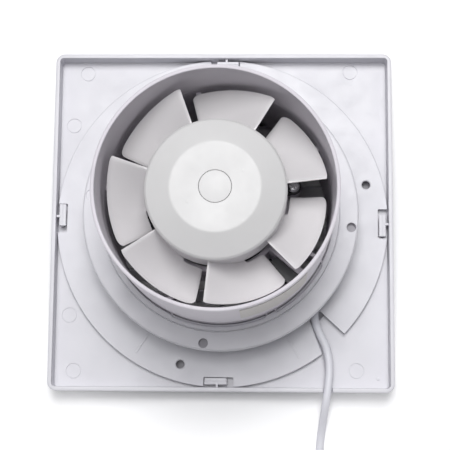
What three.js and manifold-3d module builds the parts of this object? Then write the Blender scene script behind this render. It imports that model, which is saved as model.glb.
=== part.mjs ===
// Axial bathroom extractor fan for a 100 mm duct, seen lying on its front face.
// Millimetres, +Z is the duct axis (air leaves upwards), z = 0 is the front face.
import * as THREE from 'three';
import Module from 'manifold-3d';
import { mergeVertices } from 'three/addons/utils/BufferGeometryUtils.js';

const wasm = await Module();
wasm.setup();

// ---- driving dimensions ----------------------------------------------------
const GAP = 0.3; // clearance between separate pieces
const ROUND = 48; // segments of a large circle
const SMALL = 12; // segments of a small circle

const PLATE = 155; // side of the square front cover at its lip
const LIP_Z = 14; // height of the cover's lip
const COVER_FLOOR = 6.2; // height of the cover's floor, on which its corners stand open
const BORDER_LOW = 3.8; // front of the cover's border, set back from the louvred panel
const PANEL = 108; // side of the raised panel that carries the louvres
const LIP_WALL = 2; // thickness of the cover's rim wall
const COVER_TAPER = 0.1; // inward draft of the rim wall on each side
const CORNER = 4; // corner radius of the cover
const CORNER_IN = 1.6; // corner radius inside its rim wall
const GRILLE = 96; // side of the louvred inlet
const SLATS = 10;

const FLANGE_TOP = 9.8; // rear face of the large wall flange
const FLANGE_THICK = 2;
const FLANGE_R = 75.5;
const FLANGE_HALF = 75.1; // the flange is trimmed flat beside the cover's walls
const NOTCH_HALF = 6.7; // notches that take the cover's snap tabs
const NOTCH_IN = 70.9;
const NOTCH_SHIFT = 0.4; // the notches lie a little clockwise of the cover's middle
const TAB_WIDTH = 10;
const TAB_SHIFT = 2.2;
const TAB_R = 73.6;
const TAB_THICK = 1.4;
const SCREW_PITCH_R = 67.8;
const SCREW_ANGLES = [14.9, 134.9, -105.1];
const SCREW_HOLE_R = 1.9;

const DRUM_R = 59; // wiring drum between the flange and its collar
const DRUM_WALL = 1.8;
const COLLAR_R = 60.6;
const COLLAR_TOP = 33.7;
const COLLAR_THICK = 3;
const SOCKET_R = 52.2; // raised ring round the duct's foot
const SOCKET_RISE = 1.2;
const PIP_R = 57.6; // pitch radius of the blind holes in the collar
const PIP_ANGLES = [-5.9, 83.5, 172.7, -96.4];
const PIP_DEPTHS = [2.4, 2.4, 0.4, 2.4]; // one is only a shallow mark

const DUCT_R = 48.9; // outside of the duct spigot, for a 100 mm duct
const DUCT_BORE_R = 47.3;
const DUCT_TOP = 97;
const DUCT_FOOT = 10.4;
const ARM_TOP = 62;
const ARM_LOW = 47;
const ARMS = [[28.5, 2.4], [100.5, 2.4], [172.7, 2.4], [-115.5, 2.4], [-40.5, 3], [-29.5, 1.6]];
const LEAD_ARM = 4; // the arm whose side carries the motor lead
const LEAD_COVER = 5.2; // width of the lead's cover
const SUPPORT_R = 29.4; // ring that carries the motor
const SUPPORT_BORE_R = 27.2;
const SUPPORT_LOW = 44;
const SUPPORT_TOP = 58;

const HUB_R = 28.4;
const HUB_FLAT_R = 18.1;
const HUB_TOP = 96.6;
const HUB_SHOULDER = 91.4;
const SKIRT_LOW = 73;
const HUB_WALL = 1.8;
const CAP_R = 6.5;
const BLADES = 7;
const BLADE_TIP_R = 44.7;
const BLADE_HIGH = 85;
const BLADE_DROP = 18;
const BLADE_SPAN = 46; // degrees of arc each blade covers
const BLADE_PHASE = 58.2; // direction of the first blade's outlet edge
const BLADE_THICK = 1.8;
const BLADE_CREST = 0.3; // the outlet edge is cut level this far above its middle
const BLADE_ROOT_R = 29.5; // inner edge of a blade below the hub's skirt

const SHAFT_R = 2;
const STATOR_R = 24;
const STATOR_LOW = 40;
const STATOR_TOP = 54;
const POLE_WIDTH = 7;
const ROTOR_R = 10.4;
const COVER_R = 26.6; // motor covers
const SPLIT_Z = 47;
const MOTOR_LOW = 28;
const MOTOR_TOP = 64;
const EAR_R = 32; // pitch radius of the motor's screws
const EAR_ANGLES = [12, 135, -90, -162];

const CORD_R = 1.8;
const CORD_SIDES = 8;
const COIL_CENTRE = [17.6, -135]; // storage coil, lying beside the fan
const COIL_MEAN_R = 21;
const COIL_WIDE = 14.4; // four turns side by side
const COIL_HIGH = 7.2; // two turns one on the other
const COIL_LOW = 1;
const TIE_ANGLE = 150; // where the tie goes round the coil
const STRAIN_START_X = -5.3;
const STRAIN_LENGTH = 21.6;
const PLUG_FACE_X = -27.3;
const PLUG_LENGTH = 26;
const PLUG_Y = COIL_CENTRE[1] - COIL_MEAN_R - COIL_WIDE / 2 + CORD_R;
const PLUG_Z = 6.95;
const PIN_SPACING = 18.6;
const PIN_LENGTH = 18.7;

// ---- shape helpers ---------------------------------------------------------
const rad = (degrees) => (degrees * Math.PI) / 180;
const polar = (r, degrees, z = 0) => new THREE.Vector3(r * Math.cos(rad(degrees)), r * Math.sin(rad(degrees)), z);

function solid(geometry) {
  const bare = geometry.index ? geometry : mergeVertices(geometry);
  bare.deleteAttribute('normal');
  bare.deleteAttribute('uv');
  const merged = mergeVertices(bare, 1e-4);
  return new wasm.Manifold(new wasm.Mesh({
    numProp: 3,
    vertProperties: new Float32Array(merged.attributes.position.array),
    triVerts: new Uint32Array(merged.index.array),
  }));
}

function toGeometry(body) {
  const mesh = body.getMesh();
  const geometry = new THREE.BufferGeometry();
  geometry.setAttribute('position', new THREE.BufferAttribute(new Float32Array(mesh.vertProperties), 3));
  geometry.setIndex(Array.from(mesh.triVerts));
  geometry.computeVertexNormals();
  return geometry;
}

const joined = (bodies) => bodies.reduce((whole, body) => whole.add(body));
const without = (body, cutters) => cutters.reduce((rest, cutter) => rest.subtract(cutter), body);

// A turned shape about Z from [radius, height] points; closed ones repeat the first point.
function turned(profile, segments = ROUND) {
  const points = profile.map(([r, z]) => new THREE.Vector2(r, z));
  if (THREE.ShapeUtils.isClockWise(points)) points.reverse();
  const geometry = new THREE.LatheGeometry(points, segments);
  return solid(geometry.rotateX(Math.PI / 2));
}

function ringShape(inner, outer, low, high, segments = ROUND) {
  return turned([[inner, low], [outer, low], [outer, high], [inner, high], [inner, low]], segments);
}

function disc(radius, low, high, segments = ROUND) {
  return turned([[0, low], [radius, low], [radius, high], [0, high]], segments);
}

function block(width, depth, height, x, y, z, turn = 0) {
  const geometry = new THREE.BoxGeometry(width, depth, height);
  return solid(geometry.rotateZ(rad(turn)).translate(x, y, z));
}

// A block whose middle lies at a radius and direction, its width along the radius.
function radialBlock(width, depth, height, r, degrees, z) {
  const at = polar(r, degrees, z);
  return block(width, depth, height, at.x, at.y, at.z, degrees);
}

function post(radius, low, high, x, y, segments = SMALL) {
  return disc(radius, low, high, segments).translate([x, y, 0]);
}

function roundedSquare(side, radius, steps = 3) {
  const half = side / 2 - radius;
  const shape = new THREE.Shape();
  for (const [sx, sy, start] of [[1, 1, 0], [-1, 1, 90], [-1, -1, 180], [1, -1, 270]]) {
    for (let i = 0; i <= steps; i += 1) {
      const a = rad(start + (90 * i) / steps);
      const x = sx * half + radius * Math.cos(a);
      const y = sy * half + radius * Math.sin(a);
      if (shape.curves.length === 0 && shape.currentPoint.length() === 0) shape.moveTo(x, y);
      else shape.lineTo(x, y);
    }
  }
  shape.closePath();
  return shape;
}

// A square pad that widens by `grow` on each side from low to high.
function flaredSquare(side, radius, low, high, grow) {
  const geometry = new THREE.ExtrudeGeometry(roundedSquare(side, radius), {
    depth: 1, bevelEnabled: true, bevelThickness: high - low, bevelSize: grow, bevelSegments: 1, steps: 1,
  });
  const tall = solid(geometry.translate(0, 0, high));
  return tall.intersect(block(2 * PLATE, 2 * PLATE, high - low, 0, 0, (low + high) / 2));
}

function extruded(outline, low, high) {
  const shape = new THREE.Shape(outline.map(([x, y]) => new THREE.Vector2(x, y)));
  const geometry = new THREE.ExtrudeGeometry(shape, { depth: high - low, bevelEnabled: false });
  return solid(geometry.translate(0, 0, low));
}

// Part of a ring between two directions.
function sector(inner, outer, low, high, from, to, steps = 10) {
  const outline = [];
  for (let i = 0; i <= steps; i += 1) outline.push(polar(outer, from + ((to - from) * i) / steps));
  for (let i = steps; i >= 0; i -= 1) outline.push(polar(inner, from + ((to - from) * i) / steps));
  return extruded(outline.map((p) => [p.x, p.y]), low, high);
}

function tube(points, radius, steps, sides = CORD_SIDES) {
  const section = new THREE.Shape();
  for (let i = 0; i < sides; i += 1) {
    const a = (2 * Math.PI * i) / sides;
    if (i === 0) section.moveTo(radius, 0);
    else section.lineTo(radius * Math.cos(a), radius * Math.sin(a));
  }
  section.closePath();
  const path = new THREE.CatmullRomCurve3(points.map(([x, y, z]) => new THREE.Vector3(x, y, z)));
  return solid(new THREE.ExtrudeGeometry(section, { steps, bevelEnabled: false, extrudePath: path }));
}

// Turns a body made along +Z so that it points along `direction` from `start`.
function aimed(body, start, direction) {
  const turn = new THREE.Quaternion().setFromUnitVectors(new THREE.Vector3(0, 0, 1), direction.clone().normalize());
  const matrix = new THREE.Matrix4().compose(start, turn, new THREE.Vector3(1, 1, 1));
  return body.transform(matrix.elements);
}

// A block that lies against the clockwise side of the widest arm, where the leads run.
function besideArm(width, depth, height, r, z) {
  const [degrees, thick] = ARMS[LEAD_ARM];
  const across = thick / 2 + GAP + LEAD_COVER / 2;
  const at = polar(r, degrees, z).add(polar(across, degrees - 90));
  return block(width, depth, height, at.x, at.y, at.z, degrees);
}

// ---- materials -------------------------------------------------------------
const plastic = (color, roughness) => new THREE.MeshStandardMaterial({ color, roughness, metalness: 0 });
const metal = (color, roughness) => new THREE.MeshStandardMaterial({ color, roughness, metalness: 1 });
const finish = {
  white: plastic(0xdedce6, 0.42),
  hub: plastic(0xecebe9, 0.38),
  black: plastic(0x1c1b20, 0.5),
  cord: plastic(0xe4e4ea, 0.45),
  label: plastic(0xc9c6ba, 0.7),
  nylon: plastic(0xd8d4c6, 0.55),
  steel: metal(0xb9bbbf, 0.35),
  lamination: metal(0x6d6f73, 0.5),
  brass: metal(0xc2a45a, 0.4),
  copper: metal(0xa35a2c, 0.35),
};

const fan = new THREE.Group();
function add(name, body, material, group = fan) {
  const mesh = new THREE.Mesh(toGeometry(body), material);
  mesh.name = name;
  group.add(mesh);
  return mesh;
}

// ---- cover, flange and duct ------------------------------------------------
const innerSide = PLATE - 2 * LIP_WALL;

// Snap tabs at the middle of each wall, each tied to the wall by a thin rib.
function snapTab(turn) {
  const ribShift = 1.6;
  const wall = innerSide / 2;
  const tab = block(TAB_WIDTH, TAB_THICK, 6, TAB_SHIFT, TAB_R, COVER_FLOOR + 2.9);
  const hook = block(TAB_WIDTH, 2.1, 1.2, TAB_SHIFT, TAB_R - 1.3, 11.3);
  const rib = block(1.1, wall - TAB_R, 6.2, ribShift, (wall + TAB_R) / 2 + 0.1, COVER_FLOOR + 3);
  return joined([tab, hook, rib]).rotate([0, 0, turn]);
}

function frontCover() {
  const outer = joined([
    flaredSquare(PANEL, 14, 0, BORDER_LOW + 0.1, 4),
    flaredSquare(PLATE - 2 * COVER_TAPER - 2, CORNER, BORDER_LOW, BORDER_LOW + 2, 1),
    flaredSquare(PLATE - 2 * COVER_TAPER, CORNER, BORDER_LOW + 2, LIP_Z, COVER_TAPER),
  ]);
  const hollow = flaredSquare(innerSide - 2 * COVER_TAPER, CORNER_IN, COVER_FLOOR, LIP_Z + 0.02, COVER_TAPER);
  const inlet = solid(new THREE.ExtrudeGeometry(roundedSquare(GRILLE, 12), { depth: 9, bevelEnabled: false })
    .translate(0, 0, -2));
  const notch = block(4.6, 6, 8, 47.7, -PLATE / 2 + 1, LIP_Z - 0.6);
  const pitch = GRILLE / SLATS;
  const slats = [];
  for (let i = 0; i < SLATS; i += 1) {
    const slat = new THREE.BoxGeometry(GRILLE + 2, 6.4, 1.5).rotateX(rad(35));
    slats.push(solid(slat.translate(0, (i - (SLATS - 1) / 2) * pitch, 2.9)));
  }
  const stiffener = block(2, GRILLE + 2, 3.4, 0, 0, 3);
  const tabs = [0, 90, 180, 270].map(snapTab);
  return joined([without(outer, [hollow, inlet, notch]), ...slats, stiffener, ...tabs]);
}
add('front_cover', frontCover(), finish.white);

// The straight-edged opening in the flange that the cord leaves through.
function cordWedge(grow) {
  return extruded([
    [40.0 - grow, -44.2], [43.8 + grow, -39.6 + grow], [62, -56.1], [62, -80], [48.5, -80], [45.6, -59.2],
  ], 0, 30);
}

function mountingFlange() {
  const low = FLANGE_TOP - FLANGE_THICK;
  const inner = DUCT_R + GAP + 0.1;
  const drumIn = DRUM_R - DRUM_WALL;
  const collarLow = COLLAR_TOP - COLLAR_THICK;
  const body = turned([
    [53.6, low], [FLANGE_R, low], [FLANGE_R, FLANGE_TOP], [DRUM_R, FLANGE_TOP], [DRUM_R, collarLow],
    [COLLAR_R, collarLow], [COLLAR_R, COLLAR_TOP - 0.9],
    [COLLAR_R - 0.9, COLLAR_TOP], [SOCKET_R, COLLAR_TOP], [SOCKET_R - 0.3, COLLAR_TOP + SOCKET_RISE],
    [inner, COLLAR_TOP + SOCKET_RISE], [inner, collarLow], [drumIn, collarLow], [drumIn, FLANGE_TOP],
    [53.6, FLANGE_TOP], [53.6, low],
  ]);
  const trim = block(2 * FLANGE_HALF, 2 * FLANGE_HALF, 80, 0, 0, 30);
  const notches = [0, 90, 180, 270].map((turn) => block(2 * NOTCH_HALF, 8, 6, NOTCH_SHIFT, NOTCH_IN + 4, low + 1)
    .rotate([0, 0, turn]));
  const screws = SCREW_ANGLES.map((a) => polar(SCREW_PITCH_R, a)).map((p) => post(SCREW_HOLE_R, 5, 12, p.x, p.y));
  const pips = PIP_ANGLES.map((a) => polar(PIP_R, a))
    .map((p, i) => post(2.1, COLLAR_TOP - PIP_DEPTHS[i], 40, p.x, p.y));
  const wedge = cordWedge(0).intersect(ringShape(COLLAR_R, 90, 0, 20));
  const exit = sector(50, 62, FLANGE_TOP + 0.02, 15.4, -52, -33);
  const ribs = [-122, -60].map((a) => radialBlock(10, 0.9, 0.8, 66, a, FLANGE_TOP + 0.2));
  return without(joined([body.intersect(trim), ...ribs]), [...notches, ...screws, ...pips, wedge, exit])
    .rotate([0, 0, -0.5]);
}
add('mounting_flange', mountingFlange(), finish.white);

function ductTube() {
  const shell = turned([
    [DUCT_BORE_R, 17], [49.3, DUCT_FOOT], [50.3, DUCT_FOOT], [DUCT_R, 15.5], [DUCT_R, 27.2], [52.4, 27.2],
    [52.4, 30.3], [DUCT_R, 30.3], [DUCT_R, 36], [DUCT_R - 0.7, 36.4], [DUCT_R - 0.7, 41.2], [DUCT_R, 41.6],
    [DUCT_R, DUCT_TOP - 0.6], [DUCT_R - 0.5, DUCT_TOP], [DUCT_BORE_R, DUCT_TOP], [DUCT_BORE_R, 17],
  ]);
  const armReach = DUCT_BORE_R + 0.4 - (SUPPORT_R - 0.6);
  const arms = ARMS.map(([a, thick]) => radialBlock(armReach, thick, ARM_TOP - ARM_LOW,
    SUPPORT_R - 0.6 + armReach / 2, a, (ARM_TOP + ARM_LOW) / 2));
  const support = ringShape(SUPPORT_BORE_R, SUPPORT_R, SUPPORT_LOW, SUPPORT_TOP, 36);
  const bosses = EAR_ANGLES.map((a) => polar(EAR_R, a))
    .map((p) => post(3.2, SUPPORT_LOW + 2, SUPPORT_TOP, p.x, p.y));
  const threads = EAR_ANGLES.map((a) => polar(EAR_R, a)).map((p) => post(1.7, 50, 70, p.x, p.y, 12));
  const hollow = disc(SUPPORT_BORE_R, 40, 70, 36);
  const leadHole = besideArm(8, 4.6, 6, 48, 22.6);
  return without(joined([shell, support, ...arms, ...bosses]), [hollow, ...threads, leadHole]);
}
add('duct_tube', ductTube(), finish.white);

function ratingLabel() {
  return sector(DUCT_R + 0.05, DUCT_R + 0.45, 56, 93, -79, -42, 12)
    .subtract(disc(DUCT_R + 0.25, 50, 95, 72));
}
add('rating_label', ratingLabel(), finish.label);

// ---- impeller --------------------------------------------------------------
function blade(index) {
  const root = HUB_R - 1;
  const geometry = new THREE.BoxGeometry(1, 1, 1, 2, 7, 1);
  const at = geometry.attributes.position;
  const start = BLADE_PHASE + (360 * index) / BLADES;
  for (let i = 0; i < at.count; i += 1) {
    const u = at.getX(i) + 0.5;
    const v = at.getY(i) + 0.5;
    const side = at.getZ(i);
    const corner = Math.max(0, (v - 0.86) / 0.14);
    const r = root + u * (BLADE_TIP_R - root - 1.6 * corner * corner);
    const a = rad(start + BLADE_SPAN * v);
    const thin = 1 - 0.45 * v;
    const z = BLADE_HIGH - BLADE_DROP * (v + 0.12 * Math.sin(Math.PI * v)) + side * BLADE_THICK * thin;
    at.setXYZ(i, r * Math.cos(a), r * Math.sin(a), z);
  }
  return solid(geometry);
}

function impeller() {
  const under = HUB_TOP - 3.2;
  const capSeat = HUB_TOP - 1.6;
  const cup = turned([
    [0, capSeat], [CAP_R, capSeat], [CAP_R, HUB_TOP], [HUB_FLAT_R - 0.8, HUB_TOP], [HUB_FLAT_R, HUB_TOP - 0.15],
    [HUB_R - 0.7, HUB_SHOULDER + 0.25], [HUB_R, HUB_SHOULDER - 0.6], [HUB_R, SKIRT_LOW],
    [HUB_R - HUB_WALL, SKIRT_LOW], [HUB_R - HUB_WALL, HUB_SHOULDER - 1.4], [HUB_FLAT_R - 1, under], [0, under],
  ], 40);
  const boss = disc(6, 74, under + 0.5, 24);
  const bore = disc(SHAFT_R + GAP, 60, 99, 16);
  const nutWell = disc(4.6, HUB_TOP - 5.6, 99, 24);
  const blades = Array.from({ length: BLADES }, (_, i) => blade(i));
  const inside = disc(HUB_R - HUB_WALL - 0.01, 60, HUB_SHOULDER - 1.5, 40);
  const rootGap = disc(BLADE_ROOT_R, 60, SKIRT_LOW, 40);
  const crest = ringShape(HUB_R + 0.3, 60, BLADE_HIGH + BLADE_CREST, 99, 24);
  return without(joined([cup, ...blades.map((b) => without(b, [inside, rootGap, crest])), boss]), [bore, nutWell]);
}
const spinner = new THREE.Group();
add('impeller', impeller(), finish.hub, spinner);
add('hub_cap', disc(CAP_R - GAP, HUB_TOP - 1.3, HUB_TOP, 32), finish.hub, spinner);
add('motor_shaft', disc(SHAFT_R, 26.6, 93.6, 16), finish.steel, spinner);

function shaftNut() {
  return disc(3.9, HUB_TOP - 5.3, HUB_TOP - 2.4, 6).subtract(disc(SHAFT_R + GAP, 80, 99, 16));
}
add('shaft_nut', shaftNut(), finish.brass, spinner);
add('rotor_core', ringShape(SHAFT_R + GAP, ROTOR_R, STATOR_LOW - 0.6, STATOR_TOP + 0.6, 24), finish.lamination,
  spinner);
add('thrust_washer_inlet', ringShape(SHAFT_R + GAP, 4.2, 37.6, 38.4, 16), finish.nylon, spinner);
add('thrust_washer_outlet', ringShape(SHAFT_R + GAP, 4.2, 55.6, 56.4, 16), finish.nylon, spinner);
fan.add(spinner);

// ---- motor -----------------------------------------------------------------
function statorCore() {
  const yoke = ringShape(STATOR_R - 3.2, STATOR_R - 0.25, STATOR_LOW, STATOR_TOP, 28);
  const legs = [0, 90, 180, 270].map((a) => radialBlock(11, POLE_WIDTH, STATOR_TOP - STATOR_LOW, 16.4, a, 47));
  const shoes = [0, 90, 180, 270].map((a) => sector(10.9, 13, STATOR_LOW, STATOR_TOP, a - 34, a + 34, 4));
  return joined([yoke, ...legs, ...shoes]).subtract(disc(10.9, 30, 60, 32));
}
add('stator_core', statorCore(), finish.lamination);

function statorCoil(turn) {
  const outer = radialBlock(5.8, 12.4, 20, 16.4, turn, 47);
  const window = radialBlock(9, POLE_WIDTH + 2 * GAP, STATOR_TOP - STATOR_LOW + 2 * GAP, 16.4, turn, 47);
  return outer.subtract(window);
}
[0, 90, 180, 270].forEach((turn, i) => add(`stator_coil_${i + 1}`, statorCoil(turn), finish.copper));

// Each motor cover is a cup with a seat for its bearing.
function inletCover() {
  const shell = turned([
    [SHAFT_R + 1, MOTOR_LOW + 1], [7, MOTOR_LOW], [22, MOTOR_LOW], [COVER_R, MOTOR_LOW + 5],
    [COVER_R, SPLIT_Z - 0.15], [STATOR_R + GAP, SPLIT_Z - 0.15], [STATOR_R + GAP, MOTOR_LOW + 6],
    [21, MOTOR_LOW + 2], [7.6, MOTOR_LOW + 2], [7.6, MOTOR_LOW + 8], [5.6, MOTOR_LOW + 8],
    [5.6, MOTOR_LOW + 2.4], [SHAFT_R + 1, MOTOR_LOW + 2.4], [SHAFT_R + 1, MOTOR_LOW + 1],
  ], 28);
  return shell;
}
add('motor_cover_inlet', inletCover(), finish.black);

function outletCover() {
  const shell = turned([
    [SHAFT_R + 1, MOTOR_TOP - 2.4], [5.6, MOTOR_TOP - 2.4], [5.6, MOTOR_TOP - 7], [7.6, MOTOR_TOP - 7],
    [7.6, MOTOR_TOP - 2], [21, MOTOR_TOP - 2], [STATOR_R + GAP, MOTOR_TOP - 5], [STATOR_R + GAP, SPLIT_Z + 0.15],
    [COVER_R, SPLIT_Z + 0.15], [COVER_R, MOTOR_TOP - 4], [22, MOTOR_TOP], [SHAFT_R + 1, MOTOR_TOP],
    [SHAFT_R + 1, MOTOR_TOP - 2.4],
  ], 28);
  const earLow = SUPPORT_TOP + GAP;
  const ears = EAR_ANGLES.map((a) => radialBlock(8.2, 6.4, 2, EAR_R - 4.1, a, earLow + 1)
    .add(post(3.2, earLow, earLow + 2, polar(EAR_R, a).x, polar(EAR_R, a).y)));
  const holes = EAR_ANGLES.map((a) => polar(EAR_R, a)).map((p) => post(1.7, 50, 70, p.x, p.y, 12));
  const cavity = disc(STATOR_R + GAP, 40, MOTOR_TOP - 5, 28);
  return without(joined([shell, ...ears.map((ear) => ear.subtract(cavity))]), holes);
}
add('motor_cover_outlet', outletCover(), finish.black);

function bearing(low) {
  return turned([
    [SHAFT_R + GAP, low], [4.2, low], [5.2, low + 1.2], [5.2, low + 3.2], [4.2, low + 4.4],
    [SHAFT_R + GAP, low + 4.4], [SHAFT_R + GAP, low],
  ], 16);
}
add('bearing_inlet', bearing(MOTOR_LOW + 2.8), finish.brass);
add('bearing_outlet', bearing(MOTOR_TOP - 7.2), finish.brass);

function panScrew(x, y, seat, length, radius, headRadius) {
  const body = turned([
    [0, seat - length], [radius, seat - length], [radius, seat], [headRadius, seat], [headRadius, seat + 1],
    [headRadius - 0.8, seat + 1.7], [0, seat + 1.7],
  ], 12);
  const slotWide = block(2 * headRadius * 0.62, 0.6, 1.2, 0, 0, seat + 1.6);
  const slotTall = block(0.6, 2 * headRadius * 0.62, 1.2, 0, 0, seat + 1.6);
  return without(body, [slotWide, slotTall]).translate([x, y, 0]);
}
EAR_ANGLES.forEach((a, i) => {
  const at = polar(EAR_R, a);
  add(`motor_screw_${i + 1}`, panScrew(at.x, at.y, SUPPORT_TOP + 2 + 2 * GAP, 9, 1.4, 2.7), finish.steel);
});

// Dark channel that covers the motor's lead along the widest arm.
function wireCover() {
  const body = besideArm(12.4, LEAD_COVER, 10.4, 39.4, 56.6);
  const channel = besideArm(16, 3.2, 8.4, 39.4, 54.2);
  return body.subtract(channel);
}
add('wire_cover', wireCover(), finish.black);

function motorLead() {
  const [degrees, thick] = ARMS[LEAD_ARM];
  const across = polar(thick / 2 + GAP + LEAD_COVER / 2, degrees - 90);
  const beside = (r, z) => polar(r, degrees, z).add(across).toArray();
  return tube([
    [52.6, -8.4, 22.6], [52.4, -12, 23], polar(53.6, -20, 23).toArray(), polar(54, -30, 23).toArray(),
    polar(53.6, -38, 23).toArray(), polar(52.2, -43.5, 23).toArray(), beside(48.2, 22.8), beside(45.9, 24.4),
    beside(44.6, 28.6), beside(44.4, 34), beside(44.4, 41), beside(44, 47.5), beside(42.4, 52),
    beside(39.4, 54), beside(35, 54.4), beside(31.4, 54.4),
  ], 1.2, 40, 6);
}
add('motor_lead', motorLead(), finish.black);

// ---- wiring drum -----------------------------------------------------------
function terminalBlock() {
  const body = block(5.6, 15, 11, 53.1, 0, 19.4);
  const wells = [-4, 4].map((y) => post(2, 21, 30, 53.1, y, 14));
  return without(body, wells);
}
add('terminal_block', terminalBlock(), finish.nylon);
[-4, 4].forEach((y, i) => {
  const body = post(1.6, 21.4, 24.2, 53.1, y, 14).subtract(block(2.4, 0.6, 1, 53.1, y, 24.2));
  add(`terminal_screw_${i + 1}`, body, finish.brass);
});

// ---- supply cord -----------------------------------------------------------
// The cord's route, by hand: along the drum, through the flange's opening and the notch
// in the cover's lip, down to the surface and on to the storage coil.
const cordRun = [
  [53.3, -8.6, 14.4], [52.3, -13, 12.9], [50.6, -17.4, 12.1], [48.9, -23, 12], [46.5, -29, 12],
  [43.5, -34.8, 12], [42, -40.5, 12], [42.4, -46, 11.9], [44.2, -51.1, 11.7], [46.6, -56, 11.6],
  [48, -61.2, 11.6], [48.5, -66.2, 11.6], [48.3, -71.3, 11.7], [47.7, -76.6, 11.8], [47, -81.6, 11.1],
  [46.3, -86.6, 8.6], [45.7, -91.4, 5.4], [45.1, -96.4, 3], [44.6, -101.6, 2.1], [44.2, -107, 2.1],
  [44, -112, 2.4], [44, -115.9, 2.8],
];
const cordTail = [[3, PLUG_Y, 6.55], [1, PLUG_Y, 6.65], [-1.6, PLUG_Y, 6.8], [-5, PLUG_Y, PLUG_Z]];

function cordClip() {
  const [r, degrees, low, high] = [53.7, -19, FLANGE_TOP + GAP, 16.8];
  const body = radialBlock(6.2, 5, high - low, r, degrees, (low + high) / 2);
  return body.subtract(radialBlock(4.9, 9, 4.6, r, degrees, 12.4));
}

function storageCoil() {
  const bevel = 1.6;
  const top = COIL_LOW + COIL_HIGH;
  const near = COIL_MEAN_R - COIL_WIDE / 2;
  const far = COIL_MEAN_R + COIL_WIDE / 2;
  return turned([
    [near + bevel, COIL_LOW], [far - bevel, COIL_LOW], [far, COIL_LOW + bevel], [far, top - bevel],
    [far - bevel, top], [near + bevel, top], [near, top - bevel], [near, COIL_LOW + bevel],
    [near + bevel, COIL_LOW],
  ], 40).translate([...COIL_CENTRE, 0]);
}

function cordTie() {
  const high = COIL_HIGH + 2 * GAP;
  const wide = COIL_WIDE + 1.6;
  const at = polar(COIL_MEAN_R, TIE_ANGLE, COIL_LOW + COIL_HIGH / 2);
  const middle = [COIL_CENTRE[0] + at.x, COIL_CENTRE[1] + at.y, at.z];
  const outer = block(wide + 1.4, 6, high + 1.2, ...middle, TIE_ANGLE);
  return outer.subtract(block(wide, 9, high, ...middle, TIE_ANGLE));
}

function plugBody() {
  const outline = [
    [-PLUG_LENGTH, -17.6], [-22, -17.6], [0, -9], [0, 9], [-22, 17.6], [-PLUG_LENGTH, 17.6],
  ];
  return extruded(outline, 0.1, 13.8).translate([PLUG_FACE_X, PLUG_Y, 0]);
}

function plugStrainRelief() {
  const bore = CORD_R + 0.1 + GAP;
  const sleeve = turned([
    [bore, 0], [CORD_R + 1, 0], [5.2, STRAIN_LENGTH], [bore, STRAIN_LENGTH], [bore, 0],
  ], 16);
  return aimed(sleeve, new THREE.Vector3(STRAIN_START_X, PLUG_Y, PLUG_Z), new THREE.Vector3(-1, 0, 0));
}

function plugPin(side) {
  const y = PLUG_Y + (side * PIN_SPACING) / 2;
  const pin = turned([[0, 0], [2, 0], [2, PIN_LENGTH - 1.1], [1, PIN_LENGTH], [0, PIN_LENGTH]], 12);
  const face = PLUG_FACE_X - PLUG_LENGTH - GAP;
  return aimed(pin, new THREE.Vector3(face, y, PLUG_Z), new THREE.Vector3(-1, 0, 0));
}

add('cord_clip', cordClip(), finish.nylon);
add('supply_cord', tube(cordRun, CORD_R, 48), finish.cord);
add('supply_cord_coil', storageCoil(), finish.cord);
add('cord_tie', cordTie(), finish.black);
add('supply_cord_tail', tube(cordTail, CORD_R, 6), finish.cord);
add('plug_strain_relief', plugStrainRelief(), finish.cord);
add('plug_body', plugBody(), finish.cord);
[-1, 1].forEach((side, i) => add(`plug_pin_${i + 1}`, plugPin(side), finish.brass));

export default fan;
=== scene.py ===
# Axial bathroom extractor fan for a 100 mm duct, lying on its louvred front face.
# Sizes below are millimetres in the part's own frame; meshes are written in metres.
import math

import bmesh
import bpy
from mathutils import Matrix, Vector


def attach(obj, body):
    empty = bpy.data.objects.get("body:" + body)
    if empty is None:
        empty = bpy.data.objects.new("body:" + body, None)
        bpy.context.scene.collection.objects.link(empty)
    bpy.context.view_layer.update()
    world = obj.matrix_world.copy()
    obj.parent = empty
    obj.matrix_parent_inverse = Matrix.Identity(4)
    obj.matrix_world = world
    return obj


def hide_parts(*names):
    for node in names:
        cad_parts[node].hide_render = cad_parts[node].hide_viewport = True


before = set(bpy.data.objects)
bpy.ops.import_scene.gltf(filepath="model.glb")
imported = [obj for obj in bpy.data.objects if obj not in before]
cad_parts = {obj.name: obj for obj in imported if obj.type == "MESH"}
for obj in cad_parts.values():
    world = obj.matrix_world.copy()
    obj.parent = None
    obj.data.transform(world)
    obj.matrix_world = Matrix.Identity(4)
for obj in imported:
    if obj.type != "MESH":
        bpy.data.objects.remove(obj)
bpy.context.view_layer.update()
MM = 0.001
HOUSING, WHEEL = "housing", "fan_wheel"

# Front cover: a square tray whose floor is COVER_FLOOR above its front face.
PLATE, LIP_Z, COVER_FLOOR, LIP_WALL, COVER_TAPER, CORNER = 155, 14, 6.2, 2, 0.1, 4
CORNER_IN, BORDER_LOW, PANEL = 1.6, 3.8, 108
WELL, WELL_R = 1.8, 3.4
GRILLE, SLATS, SLAT_LEAN, SLAT_WIDE, SLAT_THICK = 96, 10, 35, 6.4, 1.5
EJECTORS, EJECTOR_R = ((-63.4, 69.9), (-69.3, 45), (-69.2, -43.3), (-66.7, -68.5), (58.9, 70.7), (60.9, -67.7)), 3.3
TAB_WIDTH, TAB_SHIFT, TAB_R, TAB_THICK = 10, 2.2, 73.6, 1.4
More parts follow.
